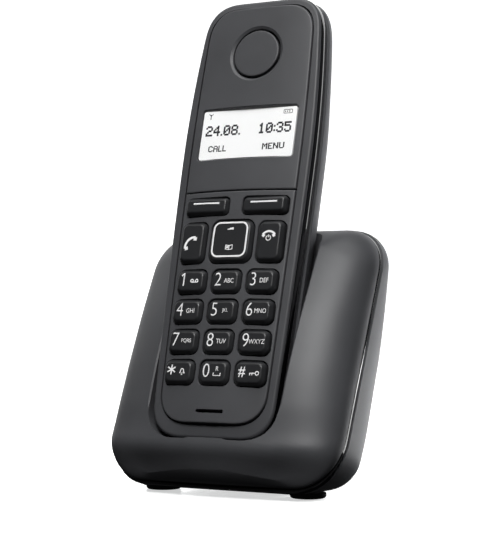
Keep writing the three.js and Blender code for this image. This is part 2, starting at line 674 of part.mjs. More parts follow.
function baseInsides(group) {
  const board = new THREE.Shape();
  board.moveTo(-18, 34);
  board.lineTo(18, 34);
  board.lineTo(12.2, STAND_BACK - 3);
  board.lineTo(-12.2, STAND_BACK - 3);
  add(group, 'base_circuit_board', solid(new THREE.ExtrudeGeometry(board, {
    depth: BASE_BOARD_HIGH - BASE_BOARD_LOW, bevelEnabled: false,
  }).translate(0, 0, BASE_BOARD_LOW)).subtract(join(discZ(-15, 40, 1.4, 0, 9), discZ(15, 40, 1.4, 0, 9))),
  FIBREGLASS);
  Object.entries(SOCKETS).forEach(([name, socket]) => {
    const { x, width } = socket;
    const body = box(x - width / 2, x + width / 2, SOCKET_FRONT, SOCKET_BACK, SOCKET_LOW, SOCKET_HIGH);
    add(group, name, cut(body, socketMouth(socket, SOCKET_FRONT + 3, STAND_BACK + 5)), SOCKET_PLASTIC);
  });
  add(group, 'base_antenna', box(-16, -10, 46, 56, SOCKET_LOW, SOCKET_LOW + 0.7), SPRING_METAL);
}

// Sprung charging contact: a rounded nose on a post, reaching down to the circuit board's height.
function baseContacts(group) {
  [['base_contact_left', -1], ['base_contact_right', 1]].forEach(([name, side]) => {
    const nose = box(
      side * CONTACT.x - CONTACT.width / 2, side * CONTACT.x + CONTACT.width / 2,
      CONTACT.y0, CONTACT.y1, -3.6, -GAP);
    add(group, name, leaned(nose), SPRING_METAL);
  });
}

function pagingKey(group) {
  const wedgeTop = THREE.MathUtils.mapLinear(PAGING.y, 24, STAND_BACK - 4, 40, STAND_HEIGHT + 1);
  const profile = [[0, 9], [1.6, 9], [1.6, 20], [PAGING.radius, 20], [PAGING.radius, wedgeTop + 1],
    [PAGING.radius - 0.8, wedgeTop + 1.8], [0, wedgeTop + 2]];
  const key = new THREE.LatheGeometry(profile.map(([r, z]) => new THREE.Vector2(r, z)), 18)
    .rotateX(Math.PI / 2).translate(0, PAGING.y, 0);
  add(group, 'paging_key', solid(key), KEY_PLASTIC);
}

function feet(group) {
  const places = [
    ['foot_front_left', -FRONT_FOOT.x, FRONT_FOOT.y], ['foot_front_right', FRONT_FOOT.x, FRONT_FOOT.y],
    ['foot_rear_left', -REAR_FOOT.x, REAR_FOOT.y], ['foot_rear_right', REAR_FOOT.x, REAR_FOOT.y],
  ];
  const profile = [[0, 0], [FOOT_RADIUS - 0.5, 0], [FOOT_RADIUS, 0.5], [FOOT_RADIUS, BASE_BOTTOM - GAP],
    [0, BASE_BOTTOM - GAP]];
  places.forEach(([name, x, y]) => {
    const foot = new THREE.LatheGeometry(profile.map(([r, z]) => new THREE.Vector2(r, z)), 18)
      .rotateX(Math.PI / 2).translate(x, y, 0);
    add(group, name, solid(foot), RUBBER);
  });
}

function baseScrews(group) {
  [['base_screw_left', -1], ['base_screw_right', 1]].forEach(([name, side]) => {
    const head = discZ(side * 15, 40, 1.7, 2.2, 3.2, 16);
    const shank = discZ(side * 15, 40, 0.9, 3.1, 9, 12);
    add(group, name, join(head, shank), STEEL);
  });
}

function makeBase() {
  const base = new THREE.Group();
  baseFrontShell(base);
  baseTrimBand(base);
  baseRearShell(base);
  baseInsides(base);
  baseContacts(base);
  pagingKey(base);
  feet(base);
  baseScrews(base);
  return base;
}

// ---- Phone --------------------------------------------------------------------------------

const phone = new THREE.Group();
const handset = makeHandset();
handset.rotation.x = -HANDSET_LEAN;
handset.position.copy(HANDSET_FOOT);
phone.add(makeBase(), handset);

// The origin is at the middle of the footprint, on the surface that the base stands on.
const extent = new THREE.Box3().setFromObject(phone, true);
phone.position.y = -(extent.min.y + extent.max.y) / 2;

export default phone;
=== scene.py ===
"""Looks of a cordless phone docked in its charging base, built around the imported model.

Lengths are in millimetres until a piece is placed, and every piece is placed in metres in the model's
own frame. The handset is made in its own frame (x across, y into its thickness from the face, z along
its length) and is leaned back into the base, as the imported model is.
"""
import json
import math

import bmesh
import bpy
from mathutils import Matrix, Vector


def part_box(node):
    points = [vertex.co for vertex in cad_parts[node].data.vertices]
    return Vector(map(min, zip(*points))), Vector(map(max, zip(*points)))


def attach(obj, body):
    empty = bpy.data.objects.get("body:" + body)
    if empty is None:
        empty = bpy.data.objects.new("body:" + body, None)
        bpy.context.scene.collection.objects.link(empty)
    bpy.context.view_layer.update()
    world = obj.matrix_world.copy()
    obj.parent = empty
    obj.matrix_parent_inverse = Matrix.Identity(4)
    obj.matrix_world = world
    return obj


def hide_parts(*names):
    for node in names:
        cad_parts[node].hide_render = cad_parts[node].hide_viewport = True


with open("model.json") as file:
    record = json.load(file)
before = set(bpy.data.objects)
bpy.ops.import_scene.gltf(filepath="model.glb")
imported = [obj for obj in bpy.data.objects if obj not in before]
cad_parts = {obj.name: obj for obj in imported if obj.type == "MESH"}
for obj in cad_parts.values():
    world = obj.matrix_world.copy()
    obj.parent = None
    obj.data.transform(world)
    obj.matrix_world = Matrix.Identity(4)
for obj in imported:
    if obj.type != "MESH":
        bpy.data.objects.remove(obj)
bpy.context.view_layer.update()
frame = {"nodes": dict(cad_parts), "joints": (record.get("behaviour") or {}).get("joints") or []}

MM = 0.001
GAP = 0.3  # clearance between fitted pieces
WELD = 0.004  # points closer than this are one

# ---- Handset sizes ----

LENGTH = 155.8
TOP_END_Z = 146
HALF_WIDTH = 24.9
FACE_HALF_WIDTH = 21.2
WAIST_Z = 100
BODY_CORNERS = (12.5, 12)  # corner radii, lower and upper
BODY_SQUARENESS = 2.6
FACE_BOTTOM = 4.8
FACE_TOP = 153.2
FACE_CORNERS = (11, 10.5)
FACE_SQUARENESS = 2.4
SEAT_GAP = 0.5  # dark line round the face plates
CROWN_RADIUS = 140
PANEL_BACK = 2.7
FLOOR_FRONT = 3.0
FLOOR_BACK = 4.1
TRIM_FRONT = 3.2
TRIM_BACK = 8.6
TRIM_WIDTH = 2.2
GROOVE_BACK = 10.4
REAR_Y = 18.8
COVER_FRONT = REAR_Y + GAP
COVER_BACK = 22.6
PLATE_SPLIT = 85
EARPIECE_Z = 135.6
EARPIECE_RADIUS = 8.6
EARPIECE_GAP = 0.7
DISPLAY_Z = 106.2
DISPLAY_WIDTH = 36.6
DISPLAY_HEIGHT = 18.4
LCD_WIDTH = 40
LCD_HEIGHT = 22
SCREEN_Y = 1.6  # depth of the display's face
DIGIT_KEY = (11.2, 8.3, 2.4)  # width, height and corner radius
SOFT_KEY = (16.6, 6.2, 1.6)
CALL_KEY = (9.6, 14.4, 2.4)
NAV_KEY = (16.1, 15.1, 3.2)
COLUMN_PITCH = 13.2
ROW_PITCH = 10.4
TOP_ROW_Z = 52.7
KEY_PROUD = 0.9
KEY_BACK = 4.9
NAV_Z = 66.7
CALL_X = 14.6
CALL_Z = 66.5
SOFT_X = 11
SOFT_Z = 79.4
MIC_Z = 8.7
STRIP_X = 7.5  # charging strips and contacts
COVER = (0, 55, 36, 74, 7)  # x, z, width, height and corner radius
SCREW_X = 15
SCREW_Z = 24

# ---- Base sizes ----

BASE_HALF_WIDTH = 43.3
BASE_TOP = 89
BASE_BOTTOM = 2
CHIN_EDGE = 4.2
PARTING_LEAN = math.tan(math.radians(26.5))
PARTING_Y = 3.5
BASE_WALL = 2
BAND_DEPTH = 3.4
BASE_CORNERS = (17, 14.5)
FRONT_CORNERS = (16, 14.5)
BASE_SQUARENESS = 2.1
STAND_BACK = 80
STAND_ROOT = (24, 40)  # half width and height, at the slab
STAND_END = (15.5, 21.5)
PAGING_Y = 54
POCKET_WALL = 1.8
POCKET_FRONT = -6
POCKET_BACK = 23.6

# ---- Where the two frames sit ----

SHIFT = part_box("base_rear_shell")[1].y / MM - STAND_BACK
LIFT = next(joint for joint in frame["joints"] if joint["name"] == "handset_lift")
LEAN = math.atan2(LIFT["axis"][1], LIFT["axis"][2])
FOOT = Vector((0, -1.3, 20.1))
LEANED = Matrix.Translation(FOOT) @ Matrix.Rotation(-LEAN, 4, "X")
IN_BASE = Matrix.Scale(MM, 4) @ Matrix.Translation((0, SHIFT, 0))
IN_HANDSET = IN_BASE @ LEANED


def smooth_profile(points):
    """A smooth curve through a few (position, value) points that never overshoots them."""
    xs = [p[0] for p in points]
    ys = [p[1] for p in points]
    slopes = [(ys[i + 1] - ys[i]) / (xs[i + 1] - xs[i]) for i in range(len(xs) - 1)]
    tangents = [slopes[0]]
    for a, b in zip(slopes, slopes[1:]):
        tangents.append(0 if a * b <= 0 else 2 * a * b / (a + b))
    tangents.append(slopes[-1])

    def value(at):
        at = min(max(at, xs[0]), xs[-1])
        i = max(k for k in range(len(xs) - 1) if xs[k] <= at)
        width = xs[i + 1] - xs[i]
        t = (at - xs[i]) / width
        return ((1 + 2 * t) * (1 - t) ** 2 * ys[i] + t * t * (3 - 2 * t) * ys[i + 1]
                + width * t * (1 - t) ** 2 * tangents[i] - width * t * t * (1 - t) * tangents[i + 1])
    return value


# ---- Outlines ----

class Outline:
    """A closed outline in x and z, mirrored about `x`, with rounded corners."""

    def __init__(self, bottom, top, half_width, bottom_radius, top_radius, squareness=2.0, x=0,
                 arc=8, side=6, across=8, tighten=0.8):
        self.bottom = bottom
        self.top = top
        self.half_width = half_width if callable(half_width) else lambda z: half_width
        self.bottom_radius = bottom_radius
        self.top_radius = top_radius
        self.squareness = squareness
        self.x = x
        self.arc = arc
        self.side = side
        self.across = across
        self.tighten = tighten

    def inset(self, margin, rise=None):
        """The same outline drawn in by a margin, and up and down by `rise` where it is given."""
        rise = margin if rise is None else rise
        limit = lambda radius: max(0.15, radius - self.tighten * margin)
        return Outline(self.bottom + rise, self.top - rise, lambda z: self.half_width(z) - margin,
                       limit(self.bottom_radius), limit(self.top_radius), self.squareness, self.x,
                       self.arc, self.side, self.across, self.tighten)

    def right_side(self):
        """Points up the right side, as (distance from the middle, z)."""
        power = 2 / self.squareness
        low = self.bottom + self.bottom_radius
        high = self.top - self.top_radius
        points = []
        for i in range(self.arc + 1):
            angle = math.pi / 2 * i / self.arc
            out = math.sin(angle) ** power
            z = low - self.bottom_radius * math.cos(angle) ** power
            points.append((self.half_width(z) - self.bottom_radius * (1 - out), z))
        for i in range(1, self.side + 1):
            z = low + (high - low) * i / (self.side + 1)
            points.append((self.half_width(z), z))
        for i in range(self.arc + 1):
            angle = math.pi / 2 * i / self.arc
            out = max(0.0, math.cos(angle)) ** power
            z = high + self.top_radius * math.sin(angle) ** power
            points.append((self.half_width(z) - self.top_radius * (1 - out), z))
        return points

    def ring(self):
        """Points once round: up the right, across the top, down the left, across the bottom."""
        right = self.right_side()
        steps = self.across
        top, bottom = right[-1], right[0]
        ring = [(x, z) for x, z in right]
        ring += [(top[0] * (1 - 2 * i / steps), top[1]) for i in range(1, steps)]
        ring += [(-x, z) for x, z in reversed(right)]
        ring += [(bottom[0] * (2 * i / steps - 1), bottom[1]) for i in range(1, steps)]
        return [(self.x + x, z) for x, z in ring]


def rectangle(x, z, width, height, radius, **counts):
    return Outline(z - height / 2, z + height / 2, width / 2, radius, radius, x=x, **counts)


def disc(x, z, radius, **counts):
    shape = {"arc": 12, "side": 0, "across": 12, "tighten": 1} | counts
    return Outline(z - radius, z + radius, radius, radius, radius, x=x, **shape)


# ---- Solids ----

def linked(name, data):
    """A new object of the scene."""
    item = bpy.data.objects.new(name, data)
    bpy.context.scene.collection.objects.link(item)
    return item


def mesh_from(vertices, faces):
    """A closed mesh whose faces point out."""
    mesh = bpy.data.meshes.new("solid")
    mesh.from_pydata(vertices, [], faces)
    work = bmesh.new()
    work.from_mesh(mesh)
    bmesh.ops.remove_doubles(work, verts=work.verts, dist=1e-5)
    bmesh.ops.recalc_face_normals(work, faces=work.faces)
    work.to_mesh(mesh)
    work.free()
    return mesh


def stacked(outlines, depths, hoop=False):
    """A skin through a stack of outlines. Each outline has a depth, a number or a function of x and
    z. Its two ends are closed by lids that follow the end depths, or joined to each other."""
    first = outlines[0]
    side = 2 * first.arc + 2 + first.side
    steps = first.across
    count = 2 * side + 2 * (steps - 1)
    vertices = []
    faces = []
    for outline, depth in zip(outlines, depths):
        for x, z in outline.ring():
            vertices.append((x, depth(x, z) if callable(depth) else depth, z))
    pairs = range(len(outlines) if hoop else len(outlines) - 1)
    for r in pairs:
        low = r * count
        high = ((r + 1) % len(outlines)) * count
        for i in range(count):
            j = (i + 1) % count
            faces.append((low + i, low + j, high + j, high + i))
    if hoop:
        return mesh_from(vertices, faces)
    for r, depth in ((0, depths[0]), (len(outlines) - 1, depths[-1])):
        start = r * count
        rungs = []
        for i in range(side):
            right = start + i
            left = start + side + (steps - 1) + (side - 1 - i)
            if i == 0:
                inner = [start + count - k for k in range(1, steps)]
            elif i == side - 1:
                inner = [start + side + k for k in range(steps - 1)]
            else:
                inner = []
                a, b = vertices[right], vertices[left]
                for k in range(1, steps):
                    x = a[0] + (b[0] - a[0]) * k / steps
                    inner.append(len(vertices))
                    vertices.append((x, depth(x, a[2]) if callable(depth) else depth, a[2]))
            rungs.append([right, *inner, left])
        for lower, upper in zip(rungs, rungs[1:]):
            for k in range(steps):
                faces.append((lower[k], lower[k + 1], upper[k + 1], upper[k]))
    return mesh_from(vertices, faces)


def layered(outline, layers, hoop=False):
    """A solid from one outline drawn in by a margin at each depth. A layer is (margin, depth)."""
    return stacked([outline.inset(margin) for margin, _ in layers], [depth for _, depth in layers], hoop)


BOX_FACES = [(0, 1, 3, 2), (4, 6, 7, 5), (0, 4, 5, 1), (2, 3, 7, 6), (0, 2, 6, 4), (1, 5, 7, 3)]


def box(x0, x1, y0, y1, z0, z1):
    return mesh_from([(x, y, z) for x in (x0, x1) for y in (y0, y1) for z in (z0, z1)], BOX_FACES)


def turned(profile, x=0, y=0, steps=64):
    """A solid of revolution about an upright axis, from (radius, z) points. The ends are on the axis."""
    vertices = []
    faces = []
    for radius, z in profile[1:-1]:
        for i in range(steps):
            angle = 2 * math.pi * i / steps
            vertices.append((x + radius * math.cos(angle), y + radius * math.sin(angle), z))
    rings = len(profile) - 2
    for r in range(rings - 1):
        for i in range(steps):
            j = (i + 1) % steps
            faces.append((r * steps + i, r * steps + j, (r + 1) * steps + j, (r + 1) * steps + i))
    ends = ((0, profile[0][1]), ((rings - 1) * steps, profile[-1][1]))
    for start, z in ends:
        centre = len(vertices)
        vertices.append((x, y, z))
        faces += [(start + i, start + (i + 1) % steps, centre) for i in range(steps)]
    return mesh_from(vertices, faces)


def moved(mesh, matrix):
    mesh.transform(matrix)
    return mesh


def together(*meshes):
    """Several separate solids in one mesh."""
    work = bmesh.new()
    for mesh in meshes:
        work.from_mesh(mesh)
    whole = bpy.data.meshes.new("solid")
    work.to_mesh(whole)
    work.free()
    return whole


def boolean(body, tool, operation="DIFFERENCE"):
    """Cuts or joins two solids."""
    body_object = linked("body", body)
    tool_object = linked("tool", tool)
    change = body_object.modifiers.new("cut", "BOOLEAN")
    change.object = tool_object
    change.operation = operation
    change.solver = "EXACT"
    bpy.context.view_layer.update()
    ready = body_object.evaluated_get(bpy.context.evaluated_depsgraph_get())
    result = bpy.data.meshes.new_from_object(ready)
    for item in (body_object, tool_object):
        bpy.data.objects.remove(item)
    work = bmesh.new()
    work.from_mesh(result)
    bmesh.ops.remove_doubles(work, verts=work.verts, dist=WELD)
    bmesh.ops.dissolve_degenerate(work, edges=work.edges, dist=WELD)
    work.to_mesh(result)
    work.free()
    return result


def level_top(mesh):
    """The handset's top end is level when docked, so towards its back it reaches further up."""
    for vertex in mesh.vertices:
        _, y, z = vertex.co
        vertex.co.z += math.tan(LEAN) * max(0, y) * max(0, (z - TOP_END_Z) / (LENGTH - TOP_END_Z))


def place(name, mesh, matrix, body, material, slot, *replaced, crease=35):
    """Puts a finished solid in the scene as a piece that rides on a body."""
    if matrix is IN_HANDSET:
        level_top(mesh)
    mesh.transform(matrix)
    mesh.name = name
    work = bmesh.new()
    work.from_mesh(mesh)
    bmesh.ops.triangulate(work, faces=[face for face in work.faces if len(face.verts) > 4])
    bmesh.ops.recalc_face_normals(work, faces=work.faces)
    limit = math.radians(crease)
    for face in work.faces:
        face.smooth = True
    for edge in work.edges:
        edge.smooth = edge.calc_face_angle(0) < limit
    work.to_mesh(mesh)
    work.free()
    mesh.materials.clear()
    mesh.materials.append(material)
    item = linked(name, mesh)
    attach(item, body)
    if replaced:
        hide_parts(*replaced)
    return item


# ---- Materials ----

def surface(name, colour, roughness, metallic=0.0, coat=0.0, grain=0.25, depth=0.02, tone=0.08,
            wander=0.05, specular=0.5):
    """A moulded or metal surface. `grain` is the size of its texture and `depth` its height, in mm;
    `tone` is how much its colour varies and `wander` how much its roughness does."""
    material = bpy.data.materials.new(name)
    material.use_nodes = True
    nodes = material.node_tree.nodes
    links = material.node_tree.links
    shader = nodes["Principled BSDF"]
    shader.inputs["Metallic"].default_value = metallic
    shader.inputs["Coat Weight"].default_value = coat
    shader.inputs["Coat Roughness"].default_value = 0.03
    shader.inputs["Specular IOR Level"].default_value = specular
    where = nodes.new("ShaderNodeTexCoord")
    fine = nodes.new("ShaderNodeTexNoise")
    fine.inputs["Scale"].default_value = 1 / (grain * MM)
    fine.inputs["Detail"].default_value = 3
    links.new(where.outputs["Object"], fine.inputs["Vector"])
    bump = nodes.new("ShaderNodeBump")
    bump.inputs["Distance"].default_value = depth * MM
    bump.inputs["Strength"].default_value = 0.6
    links.new(fine.outputs["Fac"], bump.inputs["Height"])
    links.new(bump.outputs["Normal"], shader.inputs["Normal"])
    broad = nodes.new("ShaderNodeTexNoise")
    broad.inputs["Scale"].default_value = 45
    broad.inputs["Detail"].default_value = 4
    links.new(where.outputs["Object"], broad.inputs["Vector"])
    blend = nodes.new("ShaderNodeMath")
    blend.operation = "MULTIPLY_ADD"
    blend.inputs[1].default_value = 0.35
    links.new(fine.outputs["Fac"], blend.inputs[0])
    links.new(broad.outputs["Fac"], blend.inputs[2])
    ramp = nodes.new("ShaderNodeValToRGB")
    ramp.color_ramp.elements[0].position = 0.4
    ramp.color_ramp.elements[1].position = 0.95
    ramp.color_ramp.elements[0].color = [c * (1 - tone) for c in colour] + [1]
    ramp.color_ramp.elements[1].color = [min(1, c * (1 + tone)) for c in colour] + [1]
    links.new(blend.outputs[0], ramp.inputs["Fac"])
    links.new(ramp.outputs["Color"], shader.inputs["Base Color"])
    spread = nodes.new("ShaderNodeMapRange")
    spread.inputs["To Min"].default_value = max(0.02, roughness - wander)
    spread.inputs["To Max"].default_value = min(1, roughness + wander)
    links.new(broad.outputs["Fac"], spread.inputs["Value"])
    links.new(spread.outputs["Result"], shader.inputs["Roughness"])
    return material


def clear_lens():
    """Clear hard plastic, thin enough to look straight through."""
    material = surface("clear_lens", (0.9, 0.92, 0.91), 0.06, grain=1.5, depth=0.002, tone=0.02, wander=0.02)
    nodes = material.node_tree.nodes
    links = material.node_tree.links
    shader = nodes["Principled BSDF"]
    output = nodes["Material Output"]
    clear = nodes.new("ShaderNodeBsdfTransparent")
    facing = nodes.new("ShaderNodeLayerWeight")
    facing.inputs["Blend"].default_value = 0.12
    mix = nodes.new("ShaderNodeMixShader")
    links.remove(shader.inputs["Base Color"].links[0])
    shader.inputs["Base Color"].default_value = (0.02, 0.02, 0.02, 1)
    links.new(facing.outputs["Fresnel"], mix.inputs["Fac"])
    links.new(clear.outputs[0], mix.inputs[1])
    links.new(shader.outputs[0], mix.inputs[2])
    links.new(mix.outputs[0], output.inputs["Surface"])
    return material


def painted_glow_and_studio_sheet(name, colour, strength):
    """A pale surface that gives off light of its own. On the display the glow is painted light, standing in
    for the studio light that falls on the screen; the studio's sheets are evenly bright.
    """
    material = surface(name, colour, 0.25, grain=0.4, depth=0.001, tone=0.04)
    shader = material.node_tree.nodes["Principled BSDF"]
    shader.inputs["Emission Color"].default_value = (0.95, 0.96, 0.96, 1)
    shader.inputs["Emission Strength"].default_value = strength
    return material


CASING = surface("casing", (0.052, 0.053, 0.057), 0.45, grain=0.22, depth=0.03, tone=0.14, specular=0.35)
PANEL = surface("faceplate", (0.056, 0.057, 0.061), 0.45, grain=0.22, depth=0.028, tone=0.14, specular=0.35)
KEYS = surface("keys", (0.02, 0.0205, 0.022), 0.32, grain=0.3, depth=0.012, specular=0.4)
GLOSS = surface("gloss_band", (0.003, 0.003, 0.0035), 0.07, coat=0.5, grain=2, depth=0.004, wander=0.02)
LENS = clear_lens()
# The display's glow is painted light, standing in for the studio light that falls on the screen.
LCD = painted_glow_and_studio_sheet("display", (0.8, 0.803, 0.8), 0.22)
SEGMENTS = surface("display_segments", (0.006, 0.006, 0.01), 0.5, grain=0.2, depth=0.004)
INK = surface("white_legend", (0.8, 0.8, 0.8), 0.5, grain=0.15, depth=0.006, tone=0.04)
RUBBER = surface("foot_rubber", (0.012, 0.012, 0.013), 0.8, grain=0.4, depth=0.05)
SILICONE = surface("silicone", (0.42, 0.43, 0.45), 0.6, grain=0.4, depth=0.02)
BOARD = surface("circuit_board", (0.02, 0.13, 0.05), 0.4, grain=0.6, depth=0.02, tone=0.25)
STEEL = surface("steel", (0.6, 0.61, 0.62), 0.28, metallic=1, grain=0.35, depth=0.01, wander=0.1)
SPRING = surface("spring_metal", (0.75, 0.62, 0.34), 0.25, metallic=1, grain=0.35, depth=0.008, wander=0.1)
SLEEVE = surface("cell_sleeve", (0.08, 0.3, 0.14), 0.3, coat=0.3, grain=0.8, depth=0.01, tone=0.15)
SOCKET = surface("socket_plastic", (0.018, 0.018, 0.02), 0.5, grain=0.3, depth=0.02)


# ---- Handset ----

def tapered(widest, lower_taper, upper_taper):
    """Half width at a height: widest at the waist, narrower at both ends."""
    def half_width(z):
        below = max(0, (WAIST_Z - z) / WAIST_Z)
        above = max(0, (z - WAIST_Z) / (LENGTH - WAIST_Z))
        return widest - lower_taper * below ** 1.5 - upper_taper * above ** 2
    return half_width


BODY = Outline(0, LENGTH, tapered(HALF_WIDTH, 2.6, 3.4), *BODY_CORNERS, BODY_SQUARENESS,
               arc=14, side=40, across=20)
FACE = Outline(FACE_BOTTOM, FACE_TOP, tapered(FACE_HALF_WIDTH, 1.9, 1.6), *FACE_CORNERS, FACE_SQUARENESS,
               arc=14, side=40, across=20)
back_depth = smooth_profile([(0, 15), (6, 17.6), (14, REAR_Y), (104, REAR_Y), (125, 17.4), (150, 16.4),
                             (LENGTH, 15)])


def crown(x):
    """How far the bowed face falls back, away from its middle line."""
    return x * x / (2 * CROWN_RADIUS)


def crowned(depth):
    return lambda x, z: crown(x) + depth


def key_outlines():
    """Every key of the handset, as the outline of its cap."""
    keys = {}
    names = (("key_1", "key_2", "key_3"), ("key_4", "key_5", "key_6"), ("key_7", "key_8", "key_9"),
             ("key_star", "key_0", "key_hash"))
    for row, line in enumerate(names):
        for column, name in enumerate(line):
            keys[name] = rectangle((column - 1) * COLUMN_PITCH, TOP_ROW_Z - row * ROW_PITCH, *DIGIT_KEY)
    keys["soft_key_left"] = rectangle(-SOFT_X, SOFT_Z, *SOFT_KEY)
    keys["soft_key_right"] = rectangle(SOFT_X, SOFT_Z, *SOFT_KEY)
    keys["talk_key"] = rectangle(-CALL_X, CALL_Z, *CALL_KEY)
    keys["end_key"] = rectangle(CALL_X, CALL_Z, *CALL_KEY)
    keys["nav_key"] = rectangle(0, NAV_Z, *NAV_KEY)
    return keys


KEY_OUTLINES = key_outlines()
DISPLAY_OPENING = rectangle(0, DISPLAY_Z, DISPLAY_WIDTH, DISPLAY_HEIGHT, 1)
MIC_SLOT = rectangle(0, MIC_Z, 10.2, 1.1, 0.5, arc=5, side=1)


def hole_tool(outline, gap=GAP, flare=0.3, deep=6):
    """A cutting tool whose mouth opens out at the bowed face, so the hole's edge is softened."""
    return layered(outline, [(-gap - flare, -3), (-gap - flare, crowned(-0.12)),
                             (-gap, crowned(flare)), (-gap, deep)])


def face_plates():
    """The upper plate, with the window's opening and the earpiece's dish, and the keypad's plate."""
    edge = [(0, PANEL_BACK), (0, crowned(0.5)), (0.05, crowned(0.28)), (0.18, crowned(0.1)),
            (0.36, crowned(0.02)), (0.6, crowned(0))]
    split_radius = 0.5
    upper = Outline(PLATE_SPLIT + GAP / 2, FACE.top, FACE.half_width, split_radius, FACE.top_radius,
                    FACE_SQUARENESS, arc=14, side=40, across=28)
    lower = Outline(FACE.bottom, PLATE_SPLIT - GAP / 2, FACE.half_width, FACE.bottom_radius, split_radius,
                    FACE_SQUARENESS, arc=14, side=40, across=28)
    hollow = disc(0, EARPIECE_Z, EARPIECE_RADIUS + EARPIECE_GAP)
    dish = layered(hollow, [(-1.1, -3), (-1.1, crowned(-0.08)), (-0.1, crowned(0.6)),
                            (0, crowned(0.8)), (0, 6)])
    display = boolean(layered(upper, edge), hole_tool(DISPLAY_OPENING, gap=0.2, flare=0.35))
    display = boolean(display, dish)
    place("display_panel_skin", display, IN_HANDSET, "handset", PANEL, "faceplate", "display_panel",
          crease=28)
    tools = [hole_tool(outline) for outline in KEY_OUTLINES.values()]
    tools.append(hole_tool(MIC_SLOT, gap=0, flare=0.15))
    keypad = boolean(layered(lower, edge), together(*tools))
    place("keypad_panel_skin", keypad, IN_HANDSET, "handset", PANEL, "faceplate", "keypad_panel",
          crease=28)


def rounded_rim(radius, start, finish, steps=8):
    """Layers of a quarter round: from `radius` inside the outline at depth `start` to its edge."""
    layers = []
    for i in range(steps + 1):
        angle = math.pi / 2 * i / steps
        depth = start + (finish - start) * (1 - math.cos(angle))
        layers.append((radius * (1 - math.sin(angle)), depth))
    return layers


def front_shell():
    """The rim round the face plates and the web behind them, with an opening for each key."""
    seat = FACE.inset(-SEAT_GAP)
    outlines = [seat, seat]
    depths = [FLOOR_FRONT, 1.75]
    rim = [(1.6, 1.85), *rounded_rim(1.1, 1.9, TRIM_FRONT - GAP / 2),
           (TRIM_WIDTH + GAP, TRIM_FRONT - GAP / 2), (TRIM_WIDTH + GAP, FLOOR_BACK)]
    for margin, depth in rim:
        outlines.append(BODY.inset(margin))
        depths.append(depth)
    shell = stacked(outlines, depths)
    tools = [layered(outline, [(-GAP, 0), (-GAP, 7)]) for outline in
             [*KEY_OUTLINES.values(), DISPLAY_OPENING, MIC_SLOT, disc(0, EARPIECE_Z, 4.4)]]
    shell = boolean(shell, together(*tools))
    place("handset_front_skin", shell, IN_HANDSET, "handset", CASING, "casing", "handset_front_shell")


def side_trim():
    """The gloss band round the handset's side, rounded off towards its back."""
    front, back = TRIM_FRONT + GAP / 2, TRIM_BACK - GAP / 2
    ring = layered(BODY, [
        (TRIM_WIDTH, front), (0.4, front), (0.2, front + 0.12), (0.12, front + 0.4), (0.1, front + 1.2),
        (0.1, front + 2.2), (0.14, front + 2.9), (0.26, back - 1.6), (0.5, back - 0.9), (0.8, back - 0.4),
        (1.2, back - 0.1), (1.5, back), (TRIM_WIDTH, back)], hoop=True)
    place("handset_side_trim_gloss", ring, IN_HANDSET, "handset", GLOSS, "gloss_band", "handset_side_trim")


def rear_shell():
    """Rear half of the handset, with its shadow groove, battery well and sound slots."""
    start = GROOVE_BACK
    depth = lambda part: (lambda x, z: start + (back_depth(z) - start) * part)
    layers = [(9, depth(0.6)), (3, depth(0.5)), (2.8, 11), (2.8, TRIM_BACK + GAP / 2),
              (1, TRIM_BACK + GAP / 2), (1, start - 0.1), (0.9, start), (0.3, start), (0.14, start + 0.15)]
    for i in range(1, 15):
        angle = math.pi / 2 * i / 14
        layers.append((0.1 + 4.4 * (1 - math.cos(angle) ** 0.85), depth(math.sin(angle) ** 0.85)))
    shell = layered(BODY, layers)
    well = layered(rectangle(0, 57, 24.6, 58, 2, across=20), [(0, 9.5), (0, 21)])
    slots = [layered(rectangle(0, 108 + 2.6 * k, 13 - 1.2 * abs(k), 1, 0.45, arc=4, side=1),
                     [(0, 12), (0, 24)]) for k in range(-2, 3)]
    strips = [box(side * STRIP_X - 2.5, side * STRIP_X + 2.5, 11.1, 17.3, -2, 0.9) for side in (-1, 1)]
    heads = [layered(disc(side * SCREW_X, SCREW_Z, 2.2, arc=8, across=6), [(0, 12), (0, 24)])
             for side in (-1, 1)]
    shell = boolean(shell, together(well, *slots, *strips, *heads))
    place("handset_rear_skin", shell, IN_HANDSET, "handset", CASING, "casing", "handset_rear_shell")


def battery_cover():
    """A shallow lid with a rounded edge and a grip of fine ribs near its upper end."""
    outline = rectangle(*COVER, arc=10, side=16, across=16)
    front, back = COVER_FRONT, COVER_BACK - 0.35
    layers = [(3.4, back - 1.5), (1.6, back - 2), (1.6, front), (0, front)]
    for i in range(1, 11):
        angle = math.pi / 2 * i / 10
        layers.append((5 * (1 - math.cos(angle)), front + 0.6 + (back - front - 0.6) * math.sin(angle)))
    cover = layered(outline, layers)
    ribs = [layered(rectangle(0, 77 + 1.9 * k, 17 - 1.5 * abs(k - 3), 0.9, 0.44, arc=5, side=1),
                    [(0.25, COVER_BACK), (0.08, COVER_BACK - 0.08), (0, COVER_BACK - 0.25),
                     (0, COVER_BACK - 0.8)])
            for k in range(7)]
    cover = boolean(cover, together(*ribs), "UNION")
    place("battery_cover_skin", cover, IN_HANDSET, "battery_cover", CASING, "casing", "battery_cover")


def earpiece():
    """The round cap over the receiver, set into its dish."""
    disc_outline = disc(0, EARPIECE_Z, EARPIECE_RADIUS, arc=16, across=16)
    cap = layered(disc_outline, [
        (6, 3.4), (6, 1.7), (0.1, 1.7), (0, 1.5), (0, crowned(0.5)), (0.05, crowned(0.3)),
        (0.16, crowned(0.18)), (0.34, crowned(0.13)), (0.7, crowned(0.12))])
    place("earpiece_cap_skin", cap, IN_HANDSET, "handset", PANEL, "faceplate", "earpiece_cap")


# The side of a key, as (margin, depth), from its root to the edge of its face.
KEY_EDGE = ((0, FLOOR_BACK + GAP), (0, 0.75), (0.06, 0.45), (0.2, 0.2), (0.84, -0.56), (0.95, -0.68),
            (1.08, -0.77), (1.24, -0.83), (1.42, -0.86))


